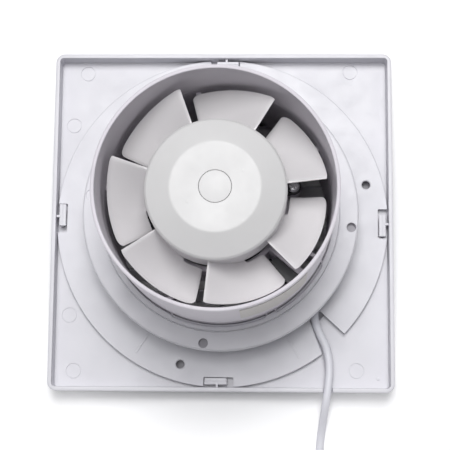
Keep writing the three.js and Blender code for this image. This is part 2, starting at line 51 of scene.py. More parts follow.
# Wall flange: a disc trimmed to a square, with the drum and the collar on top.
FLANGE_TOP, FLANGE_THICK, FLANGE_R, FLANGE_HALF = 9.8, 2, 75.5, 75.1
FLANGE_TURN, FLANGE_BORE_R, SPRUE_RIBS = -0.5, 53.6, (-122, -60)
NOTCH_HALF, NOTCH_IN, NOTCH_SHIFT = 6.7, 70.9, 0.4
SCREW_PITCH_R, SCREW_ANGLES, SCREW_HOLE_R = 67.8, (14.9, 134.9, -105.1), 1.9
OUTLET_FROM, OUTLET_TO, OUTLET_TOP = -52, -33, 15.4
DRUM_R, DRUM_WALL, COLLAR_R, COLLAR_TOP, COLLAR_THICK = 59, 1.8, 60.6, 33.7, 3
SOCKET_R, SOCKET_RISE = 52.2, 1.2
PIP_R, PIP_ANGLES, PIP_DEPTHS, PIP_HOLE_R = 57.6, (-5.9, 83.5, 172.7, -96.4), (2.4, 2.4, 0.4, 2.4), 2
# Duct spigot, with the arms and the ring that carry the motor.
DUCT_R, DUCT_BORE_R, DUCT_TOP = 48.9, 47.3, 97
BAYONETS = ((-113.8, -66), (-60, -27), (66, 113.8), (120, 153))
ARM_TOP, ARM_LOW = 62, 47
ARMS = ((28.5, 2.4), (100.5, 2.4), (172.7, 2.4), (-115.5, 2.4), (-40.5, 3), (-29.5, 1.6))
SUPPORT_R, SUPPORT_BORE_R, SUPPORT_LOW, SUPPORT_TOP = 29.4, 27.2, 44, 58
LABEL_LOW, LABEL_HIGH, LABEL_FROM, LABEL_TO, LABEL_CORNER, LABEL_THICK = 57, 92.6, -78.6, -42.5, 1.6, 0.28
# Impeller and motor.
HUB_R, HUB_FLAT_R, HUB_TOP, HUB_SHOULDER, SKIRT_LOW, HUB_WALL = 28.4, 18.1, 96.6, 91.4, 73, 1.8
BLADES, BLADE_TIP_R, BLADE_HIGH, BLADE_DROP = 7, 44.7, 85, 18
BLADE_SPAN, BLADE_PHASE, BLADE_THICK, BLADE_ROOT_R = 46, 58.2, 1.8, 29.5
COVER_R, SPLIT_Z, MOTOR_LOW, MOTOR_TOP = 26.6, 47, 28, 64
EAR_R, EAR_ANGLES = 32, (12, 135, -90, -162)
# Supply cord, its stored coil and its plug.
CORD_R = 1.8
COIL_X, COIL_Y, COIL_R, COIL_LOW, COIL_HIGH, COIL_WIDE = 17.6, -135, 21, 1, 7.2, 14.4
PLUG_Y, PLUG_Z = COIL_Y - COIL_R - COIL_WIDE / 2 + CORD_R, 6.95
STRAIN_START_X, STRAIN_LENGTH = -5.3, 21.6
PLUG_FACE_X, PLUG_LENGTH, PIN_SPACING, PIN_LENGTH = -27.3, 26, 18.6, 18.7
TIE_ANGLE = 150
SMOOTH_ANGLE = 32  # edges sharper than this stay sharp in the shading


# ---- camera ----------------------------------------------------------------
def add_camera():
    data = bpy.data.cameras.new("camera")
    data.lens, data.sensor_width, data.clip_start, data.clip_end = 101.36, 36, 0.01, 20
    camera = bpy.data.objects.new("camera", data)
    bpy.context.scene.collection.objects.link(camera)
    right = Vector((0.9995, 0.0083, -0.0292))
    up = Vector((-0.0037, 0.9882, 0.1529))
    ahead = -right.cross(up).normalized()
    up = right.cross(ahead).normalized()
    turn = Matrix((right.normalized(), up, -ahead)).transposed()
    camera.matrix_world = Matrix.Translation(Vector((18.8, -90.2, 580.9)) * MM) @ turn.to_4x4()
    bpy.context.scene.camera = camera
    bpy.context.scene.view_settings.view_transform = "Standard"
    bpy.context.scene.view_settings.look = "None"


add_camera()

# ---- materials -------------------------------------------------------------
def principled(name):
    material = bpy.data.materials.new(name)
    material.use_nodes = True
    nodes, links = material.node_tree.nodes, material.node_tree.links
    return material, nodes, links, nodes["Principled BSDF"]


def noise(nodes, links, scale, detail, rough=0.55, stretch=None):
    place = nodes.new("ShaderNodeTexCoord")
    mapping = nodes.new("ShaderNodeMapping")
    if stretch:
        mapping.inputs["Scale"].default_value = stretch
    links.new(place.outputs["Object"], mapping.inputs["Vector"])
    texture = nodes.new("ShaderNodeTexNoise")
    texture.inputs["Scale"].default_value = scale
    texture.inputs["Detail"].default_value = detail
    texture.inputs["Roughness"].default_value = rough
    links.new(mapping.outputs["Vector"], texture.inputs["Vector"])
    return texture.outputs["Fac"]


def ramp(nodes, links, source, low, high, at=(0.35, 0.65)):
    stops = nodes.new("ShaderNodeValToRGB")
    for element, place, colour in zip(stops.color_ramp.elements, at, (low, high)):
        element.position = place
        element.color = (*colour, 1)
    links.new(source, stops.inputs["Fac"])
    return stops.outputs["Color"]


def spread(nodes, links, source, low, high):
    change = nodes.new("ShaderNodeMapRange")
    change.inputs["From Min"].default_value = 0.3
    change.inputs["From Max"].default_value = 0.7
    change.inputs["To Min"].default_value = low
    change.inputs["To Max"].default_value = high
    links.new(source, change.inputs["Value"])
    return change.outputs["Result"]


def bump(nodes, links, source, depth, before=None):
    node = nodes.new("ShaderNodeBump")
    node.inputs["Distance"].default_value = depth
    node.inputs["Strength"].default_value = 1
    links.new(source, node.inputs["Height"])
    if before is not None:
        links.new(before, node.inputs["Normal"])
    return node.outputs["Normal"]


def moulded(name, colour, rough, grain=2600, grain_depth=0.00002, wave_depth=0.00003, shift=0.03):
    """Moulded plastic: slow colour drift, uneven gloss, a fine spark-eroded grain and a slight flow waviness."""
    material, nodes, links, shader = principled(name)
    drift = noise(nodes, links, 34, 5)
    low = tuple(c * (1 - shift) for c in colour)
    high = tuple(min(1, c * (1 + shift * 0.6)) for c in colour)
    links.new(ramp(nodes, links, drift, low, high), shader.inputs["Base Color"])
    gloss = noise(nodes, links, 120, 6, 0.65)
    links.new(spread(nodes, links, gloss, rough - 0.06, rough + 0.07), shader.inputs["Roughness"])
    wave = bump(nodes, links, noise(nodes, links, 60, 2), wave_depth)
    links.new(bump(nodes, links, noise(nodes, links, grain, 3), grain_depth, before=wave), shader.inputs["Normal"])
    shader.inputs["Specular IOR Level"].default_value = 0.45
    return material


def metal(name, colour, rough, stretch=(1, 1, 12)):
    """Turned or rolled metal: fine lines along one way, with uneven gloss and tarnish."""
    material, nodes, links, shader = principled(name)
    stain = noise(nodes, links, 260, 5)
    low = tuple(c * 0.72 for c in colour)
    links.new(ramp(nodes, links, stain, low, colour), shader.inputs["Base Color"])
    lines = noise(nodes, links, 900, 2, stretch=stretch)
    links.new(spread(nodes, links, lines, rough - 0.08, rough + 0.12), shader.inputs["Roughness"])
    links.new(bump(nodes, links, lines, 0.00002), shader.inputs["Normal"])
    shader.inputs["Metallic"].default_value = 1
    return material


def winding(name):
    """Close turns of enamelled copper wire."""
    material, nodes, links, shader = principled(name)
    place = nodes.new("ShaderNodeTexCoord")
    wires = nodes.new("ShaderNodeTexWave")
    wires.inputs["Scale"].default_value = 420
    wires.inputs["Distortion"].default_value = 1.5
    links.new(place.outputs["Object"], wires.inputs["Vector"])
    tint = ramp(nodes, links, wires.outputs["Fac"], (0.14, 0.05, 0.02), (0.55, 0.25, 0.1))
    links.new(tint, shader.inputs["Base Color"])
    links.new(bump(nodes, links, wires.outputs["Fac"], 0.0002), shader.inputs["Normal"])
    shader.inputs["Metallic"].default_value = 0.8
    shader.inputs["Roughness"].default_value = 0.35
    return material


def stacked(name):
    """Edges of stamped steel sheets, one on the other along Z."""
    material, nodes, links, shader = principled(name)
    place = nodes.new("ShaderNodeTexCoord")
    sheets = nodes.new("ShaderNodeTexWave")
    sheets.bands_direction = "Z"
    sheets.inputs["Scale"].default_value = 300
    links.new(place.outputs["Object"], sheets.inputs["Vector"])
    tint = ramp(nodes, links, sheets.outputs["Fac"], (0.16, 0.16, 0.17), (0.4, 0.4, 0.41))
    links.new(tint, shader.inputs["Base Color"])
    links.new(bump(nodes, links, sheets.outputs["Fac"], 0.0001), shader.inputs["Normal"])
    shader.inputs["Metallic"].default_value = 0.9
    shader.inputs["Roughness"].default_value = 0.45
    return material


def film(name):
    """Plain blank rating label: matt film with a slightly warm tint and a faint paper fleck."""
    material, nodes, links, shader = principled(name)
    fleck = noise(nodes, links, 700, 6, 0.7)
    links.new(ramp(nodes, links, fleck, (0.56, 0.53, 0.505), (0.63, 0.605, 0.585)), shader.inputs["Base Color"])
    links.new(bump(nodes, links, noise(nodes, links, 1800, 2), 0.00001), shader.inputs["Normal"])
    shader.inputs["Roughness"].default_value = 0.5
    return material


white = moulded("cover_plastic", (0.665, 0.659, 0.697), 0.36)
# A mid-grey used only as painted shade: it lines holes and recesses in the white plastic to darken them.
painted_shade_material = moulded("painted_shade_grey", (0.42, 0.41, 0.44), 0.6)
white_duct = moulded("duct_plastic", (0.68, 0.65, 0.70), 0.5, wave_depth=0.00001)
white_hub = moulded("hub_plastic", (0.70, 0.695, 0.695), 0.42, grain=3200)
white_blade = moulded("blade_plastic", (0.70, 0.683, 0.692), 0.4, grain=3200)
black = moulded("motor_plastic", (0.016, 0.015, 0.02), 0.42, grain=1500, grain_depth=0.00004, shift=0.25)
sheath = moulded("cord_sheath", (0.78, 0.78, 0.83), 0.48, grain=1500, wave_depth=0.00002)
plug_plastic = moulded("plug_plastic", (0.82, 0.82, 0.85), 0.4, grain=2400)
nylon = moulded("natural_nylon", (0.72, 0.68, 0.58), 0.5, grain=1800)
tie_plastic = moulded("tie_plastic", (0.02, 0.02, 0.022), 0.35, grain=1200, shift=0.2)
label_film = film("label_film")
steel = metal("zinc_steel", (0.72, 0.72, 0.74), 0.28)
shaft_steel = metal("ground_steel", (0.66, 0.66, 0.68), 0.22, stretch=(1, 1, 30))
brass = metal("turned_brass", (0.74, 0.56, 0.26), 0.3)
copper_wire = winding("copper_winding")
lamination = stacked("stacked_sheet")

# ---- mesh helpers ----------------------------------------------------------
def polar(r, degrees, z=0):
    return Vector((r * math.cos(math.radians(degrees)), r * math.sin(math.radians(degrees)), z))


def bezel(points, radius, closed=True, steps=3):
    """Rounds the corners of a 2D outline; radius is one number or one for each point."""
    count = len(points)
    out = []
    for i, point in enumerate(points):
        r = radius[i] if isinstance(radius, (list, tuple)) else radius
        if r <= 0 or (not closed and i in (0, count - 1)):
            out.append(tuple(point))
            continue
        at = Vector(point)
        to_last, to_next = Vector(points[i - 1]) - at, Vector(points[(i + 1) % count]) - at
        if to_last.length < 1e-6 or to_next.length < 1e-6:
            out.append(tuple(point))
            continue
        angle = to_last.angle(to_next)
        if angle > math.radians(176):
            out.append(tuple(point))
            continue
        reach = min(r / math.tan(angle / 2), to_last.length * 0.48, to_next.length * 0.48)
        start, end = at + to_last.normalized() * reach, at + to_next.normalized() * reach
        for k in range(steps + 1):
            t = k / steps
            out.append(tuple(start * (1 - t) ** 2 + at * 2 * t * (1 - t) + end * t * t))
    return out


def finish_mesh(name, mesh, material, angle=SMOOTH_ANGLE):
    work = bmesh.new()
    work.from_mesh(mesh)
    bmesh.ops.remove_doubles(work, verts=work.verts, dist=1e-7)
    bmesh.ops.recalc_face_normals(work, faces=work.faces)
    work.to_mesh(mesh)
    work.free()
    for face in mesh.polygons:
        face.use_smooth = True
    mesh.set_sharp_from_angle(angle=math.radians(angle))
    mesh.materials.clear()
    mesh.materials.append(material)
    thing = bpy.data.objects.new(name, mesh)
    bpy.context.scene.collection.objects.link(thing)
    return thing


def from_points(name, points, faces, material, angle=SMOOTH_ANGLE):
    mesh = bpy.data.meshes.new(name)
    mesh.from_pydata([tuple(Vector(p) * MM) for p in points], [], faces)
    return finish_mesh(name, mesh, material, angle)


def rings_mesh(name, rings, material, close=True, caps=False, angle=SMOOTH_ANGLE):
    """Skins a list of closed rings that all have the same number of points."""
    count = len(rings[0])
    points = [p for ring in rings for p in ring]
    faces = []
    pairs = len(rings) if close else len(rings) - 1
    for i in range(pairs):
        j = (i + 1) % len(rings)
        for k in range(count):
            m = (k + 1) % count
            faces.append((i * count + k, i * count + m, j * count + m, j * count + k))
    if caps:
        faces.append(tuple(range(count)))
        faces.append(tuple(len(points) - count + k for k in range(count)))
    return from_points(name, points, faces, material, angle)


def lathe(name, profile, material, segments, at=(0, 0), radius=0, steps=3):
    """Turned shape from a closed [radius, height] outline, with its corners rounded."""
    outline = bezel(profile, radius, True, steps) if radius else list(profile)
    rings = []
    for r, z in outline:
        rings.append([Vector((max(r, 0) * math.cos(2 * math.pi * k / segments) + at[0],
                              max(r, 0) * math.sin(2 * math.pi * k / segments) + at[1], z)) for k in range(segments)])
    return rings_mesh(name, rings, material)


def square_ring(side, radius, z, steps=8, spans=6):
    """A rounded square at one height, with steps in each corner and spans along each side."""
    radius = max(radius, 0.05)
    reach = side / 2 - radius
    signs = ((1, 1), (-1, 1), (-1, -1), (1, -1))

    def on_corner(corner, degrees):
        a = math.radians(degrees)
        sx, sy = signs[corner % 4]
        return Vector((sx * reach + radius * math.cos(a), sy * reach + radius * math.sin(a), z))

    points = []
    for corner in range(4):
        start = 90 * corner
        points += [on_corner(corner, start + 90 * k / steps) for k in range(steps + 1)]
        here, there = points[-1], on_corner(corner + 1, start + 90)
        points += [here.lerp(there, k / spans) for k in range(1, spans)]
    return points


def square_lathe(name, profile, material):
    """Like a lathe, but round a square: profile rows are (side, corner radius, height)."""
    return rings_mesh(name, [square_ring(*row) for row in profile], material)


def prism(name, outline, low, high, material, edge=0.3, segments=2):
    """An upright prism with softened edges."""
    count = len(outline)
    points = [Vector((x, y, low)) for x, y in outline] + [Vector((x, y, high)) for x, y in outline]
    faces = [tuple(range(count))[::-1], tuple(range(count, 2 * count))]
    faces += [(k, (k + 1) % count, count + (k + 1) % count, count + k) for k in range(count)]
    thing = from_points(name, points, faces, material)
    if edge:
        soften(thing, edge, segments)
    return thing


def block(name, width, depth, height, centre, turn, material, edge=0.3, segments=2):
    """An upright box, turned about Z."""
    x, y, z = centre
    c, s = math.cos(math.radians(turn)), math.sin(math.radians(turn))
    outline = [(x + c * u - s * v, y + s * u + c * v) for u, v in (
        (-width / 2, -depth / 2), (width / 2, -depth / 2), (width / 2, depth / 2), (-width / 2, depth / 2))]
    return prism(name, outline, z - height / 2, z + height / 2, material, edge, segments)


def radial_block(name, width, depth, height, r, degrees, z, material, edge=0.3):
    return block(name, width, depth, height, polar(r, degrees, z), degrees, material, edge)


def applied(thing):
    """Writes a piece's modifiers into its mesh."""
    graph = bpy.context.evaluated_depsgraph_get()
    mesh = bpy.data.meshes.new_from_object(thing.evaluated_get(graph))
    thing.modifiers.clear()
    old = thing.data
    thing.data = mesh
    bpy.data.meshes.remove(old)
    return thing


def smooth_again(thing):
    for face in thing.data.polygons:
        face.use_smooth = True
    thing.data.set_sharp_from_angle(angle=math.radians(SMOOTH_ANGLE))
    return thing


def soften(thing, width, segments=2):
    """Rounds every edge that is sharper than 38 degrees."""
    change = thing.modifiers.new("edges", "BEVEL")
    change.width = width * MM
    change.segments = segments
    change.limit_method = "ANGLE"
    change.angle_limit = math.radians(38)
    change.use_clamp_overlap = True
    return smooth_again(applied(thing))


def cut(thing, cutters, operation="DIFFERENCE"):
    """Cuts every cutter away from thing in one go, and removes the cutters. The thing keeps one material."""
    for i, cutter in enumerate(cutters):
        change = thing.modifiers.new(f"cut{i}", "BOOLEAN")
        change.operation = operation
        change.solver = "EXACT"
        change.object = cutter
    applied(thing)
    for cutter in cutters:
        bpy.data.objects.remove(cutter, do_unlink=True)
    while len(thing.data.materials) > 1:
        thing.data.materials.pop(index=len(thing.data.materials) - 1)
    for face in thing.data.polygons:
        face.material_index = 0
    return smooth_again(thing)


def joined(name, things):
    """Puts several meshes into the first one."""
    base = things[0]
    work = bmesh.new()
    slots = []
    for thing in things:
        start = len(work.faces)
        work.from_mesh(thing.data)
        work.faces.ensure_lookup_table()
        material = thing.data.materials[0]
        if material not in slots:
            slots.append(material)
        for face in list(work.faces)[start:]:
            face.material_index = slots.index(material)
    mesh = bpy.data.meshes.new(name)
    work.to_mesh(mesh)
    work.free()
    for material in slots:
        mesh.materials.append(material)
    for thing in things[1:]:
        bpy.data.objects.remove(thing, do_unlink=True)
    base.data = mesh
    base.name = name
    return base


def settle(thing, body, slot, *nodes):
    """Rides a piece on its body; the two large flat mouldings get normals weighted by face area."""
    if thing.type == "MESH" and thing.name.startswith(("front_cover", "mounting_flange")):
        even = thing.modifiers.new("even_shading", "WEIGHTED_NORMAL")
        even.mode, even.weight, even.keep_sharp = "FACE_AREA", 90, True
    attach(thing, body)
    if nodes:
        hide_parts(*nodes)
    return thing


def painted_shade_cup(at, outer, inner, low, high):
    """Painted shade for a blind round recess: a grey cup that lines its wall and floor."""
    cup = [(0, low - 0.1), (outer, low - 0.1), (outer, high), (inner, high), (inner, low + 0.05), (0, low + 0.05)]
    return lathe("painted_shade_cup", cup, painted_shade_material, 48, at)


# ---- front cover -----------------------------------------------------------
def front_cover():
    """The tray, with its louvred front, clip tabs and the wells below the flange's screw holes, lined with painted
    shade.
    """
    half_in = PLATE - 2 * LIP_WALL
    foot = PLATE - 2 * COVER_TAPER
    profile = [
        (GRILLE, 12, 0.6), (GRILLE + 0.35, 12, 0.2), (GRILLE + 1.2, 12.4, 0), (PANEL - 1, 13.6, 0),
        (PANEL + 0.4, 14.2, 0.3), (PANEL + 7, 17.5, BORDER_LOW - 0.3), (PANEL + 8.6, 18.3, BORDER_LOW),
        (foot - 3.6, CORNER - 1.6, BORDER_LOW), (foot - 1.6, CORNER - 0.8, BORDER_LOW + 0.25),
        (foot - 0.5, CORNER - 0.2, BORDER_LOW + 0.9), (foot, CORNER, BORDER_LOW + 2),
        (PLATE - 0.05, CORNER, LIP_Z - 0.5), (PLATE - 0.2, CORNER, LIP_Z - 0.14), (PLATE - 0.7, CORNER - 0.2, LIP_Z),
        (half_in + 0.7, CORNER_IN + 0.3, LIP_Z), (half_in + 0.2, CORNER_IN, LIP_Z - 0.14),
        (half_in - 0.05, CORNER_IN, LIP_Z - 0.5), (half_in - 2 * COVER_TAPER + 0.1, CORNER_IN, COVER_FLOOR + 0.6),
        (half_in - 2 * COVER_TAPER - 0.1, CORNER_IN, COVER_FLOOR + 0.15),
        (half_in - 2 * COVER_TAPER - 0.7, CORNER_IN - 0.3, COVER_FLOOR), (GRILLE + 0.8, 12.2, COVER_FLOOR),
        (GRILLE, 12, COVER_FLOOR - 0.5),
    ]
    tray = square_lathe("front_cover_body", profile, white)
    notch = block("notch", 4.6, 6, 8, (47.7, -PLATE / 2 + 1, LIP_Z - 0.6), 0, white, 0.6, 3)
    groove = [(EJECTOR_R - 0.15, COVER_FLOOR - 0.4), (EJECTOR_R + 0.2, COVER_FLOOR - 0.4),
              (EJECTOR_R + 0.3, COVER_FLOOR + 0.5), (EJECTOR_R - 0.25, COVER_FLOOR + 0.5)]
    grooves = [lathe("ejector_groove", groove, white, 64, spot) for spot in EJECTORS]
    spots = [polar(SCREW_PITCH_R, a + FLANGE_TURN) for a in SCREW_ANGLES]
    well = [(0, COVER_FLOOR - WELL), (WELL_R, COVER_FLOOR - WELL), (WELL_R, COVER_FLOOR + 1), (0, COVER_FLOOR + 1)]
    wells = [lathe("well", well, white, 48, p) for p in spots]
    cut(tray, [notch] + grooves + wells)
    things = [tray]
    # The grey cups in the wells under the screw holes are painted shade.
    things += [painted_shade_cup(p, WELL_R + 0.1, WELL_R - 0.05, COVER_FLOOR - WELL, COVER_FLOOR - 0.1) for p in spots]
    pitch = GRILLE / SLATS
    lean = math.radians(SLAT_LEAN)
    wide, thick = SLAT_WIDE / 2, SLAT_THICK / 2
    section = bezel([(-wide, -thick), (wide, -thick), (wide, thick), (-wide, thick)], 0.7, True, 4)
    for i in range(SLATS):
        y0 = (i - (SLATS - 1) / 2) * pitch
        rings = []
        for x in (-GRILLE / 2 - 1, GRILLE / 2 + 1):
            rings.append([Vector((x, y0 + v * math.cos(lean) - w * math.sin(lean),
                                  2.9 + v * math.sin(lean) + w * math.cos(lean))) for v, w in section])
        things.append(rings_mesh("slat", rings, white, False, True))
    things.append(block("stiffener", 2, GRILLE + 2, 3.4, (0, 0, 3), 0, white, 0.3))
    wall = half_in / 2
    for turn in (0, 90, 180, 270):
        spin = Matrix.Rotation(math.radians(turn), 4, "Z")
        parts = [
            block("tab", TAB_WIDTH, TAB_THICK, 6, (TAB_SHIFT, TAB_R, COVER_FLOOR + 2.9), 0, white, 0.25),
            block("hook", TAB_WIDTH, 2.1, 1.2, (TAB_SHIFT, TAB_R - 1.3, 11.3), 0, white, 0.35),
            block("rib", 1.1, wall - TAB_R, 6.2, (1.6, (wall + TAB_R) / 2 + 0.1, COVER_FLOOR + 3), 0, white, 0.2),
        ]
        for part in parts:
            part.data.transform(spin)
        things += parts
    gate = [(0, COVER_FLOOR - 0.3), (0.8, COVER_FLOOR - 0.3), (0.7, COVER_FLOOR + 0.35), (0, COVER_FLOOR + 0.4)]
    things.append(lathe("gate_mark", gate, white, 24, (70.6, -71.2), 0.1, 2))
    settle(joined("front_cover_shell", things), HOUSING, "white_plastic", "front_cover")


front_cover()


# ---- mounting flange -------------------------------------------------------
def mounting_flange():
    """The flange, its drum and collar in one turned shape, trimmed square and cut for clips, screws and cord, with
    painted shade lining its holes.
    """
    low = FLANGE_TOP - FLANGE_THICK
    inner = DUCT_R + 0.4
    drum_in = DRUM_R - DRUM_WALL
    collar_low = COLLAR_TOP - COLLAR_THICK
    outline = [
        (FLANGE_BORE_R, low), (FLANGE_R, low), (FLANGE_R, FLANGE_TOP), (DRUM_R, FLANGE_TOP), (DRUM_R, collar_low),
        (COLLAR_R, collar_low), (COLLAR_R, COLLAR_TOP), (SOCKET_R + 0.4, COLLAR_TOP),
        (SOCKET_R + 0.2, COLLAR_TOP - 0.15), (SOCKET_R, COLLAR_TOP - 0.15), (SOCKET_R - 0.2, COLLAR_TOP + SOCKET_RISE),
        (inner + 0.4, COLLAR_TOP + SOCKET_RISE), (inner, COLLAR_TOP + 0.6), (inner, collar_low), (drum_in, collar_low),
        (drum_in, FLANGE_TOP), (FLANGE_BORE_R, FLANGE_TOP),
    ]
    soft = [0.2, 0.3, 0.35, 0.5, 0.2, 0.3, 0.9, 0.1, 0.05, 0.05, 0.35, 0.2, 0.2, 0.2, 0.4, 0.3, 0.2]
    body = lathe("mounting_flange_shell", outline, white, 256, radius=soft, steps=4)
    cutters = []
    for turn in (0, 90, 180, 270):
        notch = block("notch", 2 * NOTCH_HALF, 8, 6, (NOTCH_SHIFT, NOTCH_IN + 4, low + 1), 0, white, 0.5, 3)
        notch.data.transform(Matrix.Rotation(math.radians(turn), 4, "Z"))
        cutters.append(notch)
    screw_spots = [polar(SCREW_PITCH_R, a) for a in SCREW_ANGLES]
    hole = [(0, 5), (SCREW_HOLE_R, 5), (SCREW_HOLE_R, FLANGE_TOP - 0.35), (SCREW_HOLE_R + 0.4, FLANGE_TOP + 0.05),
            (SCREW_HOLE_R + 0.4, 12), (0, 12)]
    cutters += [lathe("screw_hole", hole, white, 48, p) for p in screw_spots]
    pips = [(polar(PIP_R, a), depth) for a, depth in zip(PIP_ANGLES, PIP_DEPTHS)]
    for p, depth in pips:
        low_pip = COLLAR_TOP - depth
        pip = [(0, low_pip), (PIP_HOLE_R, low_pip), (PIP_HOLE_R + 0.05, COLLAR_TOP - 0.15),
               (PIP_HOLE_R + 0.2, COLLAR_TOP + 0.05), (PIP_HOLE_R + 0.2, 40), (0, 40)]
        cutters.append(lathe("blind_hole", pip, white, 48, p))
    cutters.append(wedge_cutter())
    cutters.append(outlet_cutter())
    for start, end in BAYONETS:
        slope = [(inner - 0.6, 34.1), (inner + 0.5, 34.2), (SOCKET_R - 0.9, 36), (inner - 0.6, 36)]
        cutters.append(arc_sweep("bayonet_entry", slope, start, end, white))
    trim = block("trim", 2 * FLANGE_HALF, 2 * FLANGE_HALF, 80, (0, 0, 30), 0, white)
    cut(body, [trim], "INTERSECT")
    cut(body, cutters)
    things = [body]
    # Grey cups in the deeper blind holes and grey sleeves in the screw holes are painted shade.
    things += [painted_shade_cup(p, PIP_HOLE_R + 0.1, PIP_HOLE_R - 0.03, COLLAR_TOP - depth, COLLAR_TOP - 0.3)
               for p, depth in pips if depth > 1]
    inside, behind, top = SCREW_HOLE_R - 0.04, SCREW_HOLE_R + 0.1, FLANGE_TOP - 0.4
    sleeve = [(inside, low + 0.1), (behind, low + 0.1), (behind, top), (inside, top)]
    things += [lathe("hole_painted_shade_sleeve", sleeve, painted_shade_material, 48, p) for p in screw_spots]
    for a in SPRUE_RIBS:
        things.append(radial_block("sprue_rib", 11, 1.1, 0.4, 66, a, FLANGE_TOP + 0.1, white, 0.15))
    whole = joined("mounting_flange_shell", things)
    whole.data.transform(Matrix.Rotation(math.radians(FLANGE_TURN), 4, "Z"))
    settle(whole, HOUSING, "white_plastic", "mounting_flange")


def arc_sweep(name, section, start, end, material, steps=40):
    """Sweeps a [radius, height] section from one direction to another about Z."""
    turns = [start + (end - start) * k / steps for k in range(steps + 1)]
    return rings_mesh(name, [[polar(r, a, z) for r, z in section] for a in turns], material, False, True)


def wedge_cutter():
    """The straight-sided opening that the cord leaves through, outside the drum only."""
    outline = bezel([(40.0, -44.2), (43.8, -39.6), (62, -56.1), (66, -84), (48.6, -84), (45.6, -59.2)],
                    [0, 0, 2.2, 0, 0, 1.2], True, 6)
    wedge = prism("wedge", outline, 0, 20, white, 0)
    keep = lathe("outside_drum", [(COLLAR_R, -1), (95, -1), (95, 21), (COLLAR_R, 21)], white, 192)
    return cut(wedge, [keep], "INTERSECT")


def outlet_cutter():
    """The opening in the drum's wall that the cord passes through, just above the flange."""
    inner, outer, steps = 50, 62, 24
    sweep = OUTLET_TO - OUTLET_FROM
    outline = [polar(outer, OUTLET_FROM + sweep * k / steps) for k in range(steps + 1)]
    outline += [polar(inner, OUTLET_TO - sweep * k / steps) for k in range(steps + 1)]
    return prism("outlet", [(p.x, p.y) for p in outline], FLANGE_TOP + 0.02, OUTLET_TOP, white, 0)


mounting_flange()


# ---- duct tube -------------------------------------------------------------
def duct_tube():
    """The spigot with its foot bead, the arms, the motor's ring and the screw bosses."""
    outline = [
        (DUCT_BORE_R, 17), (49.3, 10.4), (50.3, 10.4), (DUCT_R, 15.5), (DUCT_R, 27.2), (52.4, 27.2),
        (52.4, 30.3), (DUCT_R, 30.3), (DUCT_R, 35.2), (DUCT_R - 0.9, 35.5), (DUCT_R - 0.9, 41.3), (DUCT_R, 41.6),
        (DUCT_R, DUCT_TOP), (DUCT_BORE_R, DUCT_TOP), (DUCT_BORE_R, 66.3), (DUCT_BORE_R - 0.12, 66),
    ]
    soft = [0.3, 0.2, 0.2, 0.4, 0.3, 0.4, 0.4, 0.3, 0.2, 0.1, 0.1, 0.2, 0.55, 0.5, 0.1, 0.1]
    tube = lathe("duct_tube_shell", outline, white_duct, 256, radius=soft, steps=4)
    things = [tube]
    reach = DUCT_BORE_R + 0.4 - (SUPPORT_R - 0.6)
    for a, thick in ARMS:
        things.append(radial_block("arm", reach, thick, ARM_TOP - ARM_LOW, SUPPORT_R - 0.6 + reach / 2, a,
                                   (ARM_TOP + ARM_LOW) / 2, white_duct, 0.4))
    ring = [(SUPPORT_BORE_R, SUPPORT_LOW), (SUPPORT_R, SUPPORT_LOW), (SUPPORT_R, SUPPORT_TOP),
            (SUPPORT_BORE_R, SUPPORT_TOP)]
    things.append(lathe("motor_ring", ring, white_duct, 160, radius=0.4))
    for a in EAR_ANGLES:
        p = polar(EAR_R, a)
        boss = [(1.7, SUPPORT_LOW + 2), (3.2, SUPPORT_LOW + 2), (3.2, SUPPORT_TOP), (1.7, SUPPORT_TOP)]
        things.append(lathe("boss", boss, white_duct, 48, p, 0.25))
    for start, end in BAYONETS:
        for a in (start - 0.5, end + 0.5):
            things.append(radial_block("bayonet_stop", 1.0, 0.8, 3.4, DUCT_R + 0.1, a, 36.4, white_duct, 0.15))
    settle(joined("duct_tube_shell", things), HOUSING, "white_plastic", "duct_tube")


duct_tube()


def rating_label():
    """A blank film bent round the duct, with rounded corners."""
    steps, corner = 40, LABEL_CORNER
    sweep = LABEL_TO - LABEL_FROM
    arc = sweep * math.radians(1) * DUCT_R
    back, face = DUCT_R, DUCT_R + LABEL_THICK
    rings = []
    for i in range(steps + 1):
        t = i / steps
        a = LABEL_FROM + sweep * t
        edge = min(t, 1 - t) * arc
        pull = corner - math.sqrt(max(0, corner ** 2 - (corner - min(edge, corner)) ** 2))
        low, high = LABEL_LOW + pull, LABEL_HIGH - pull
        rings.append([polar(back, a, low), polar(face, a, low), polar(face, a, high), polar(back, a, high)])
    settle(rings_mesh("rating_label_film", rings, label_film, False, True, 50), HOUSING, "label_paper", "rating_label")


rating_label()


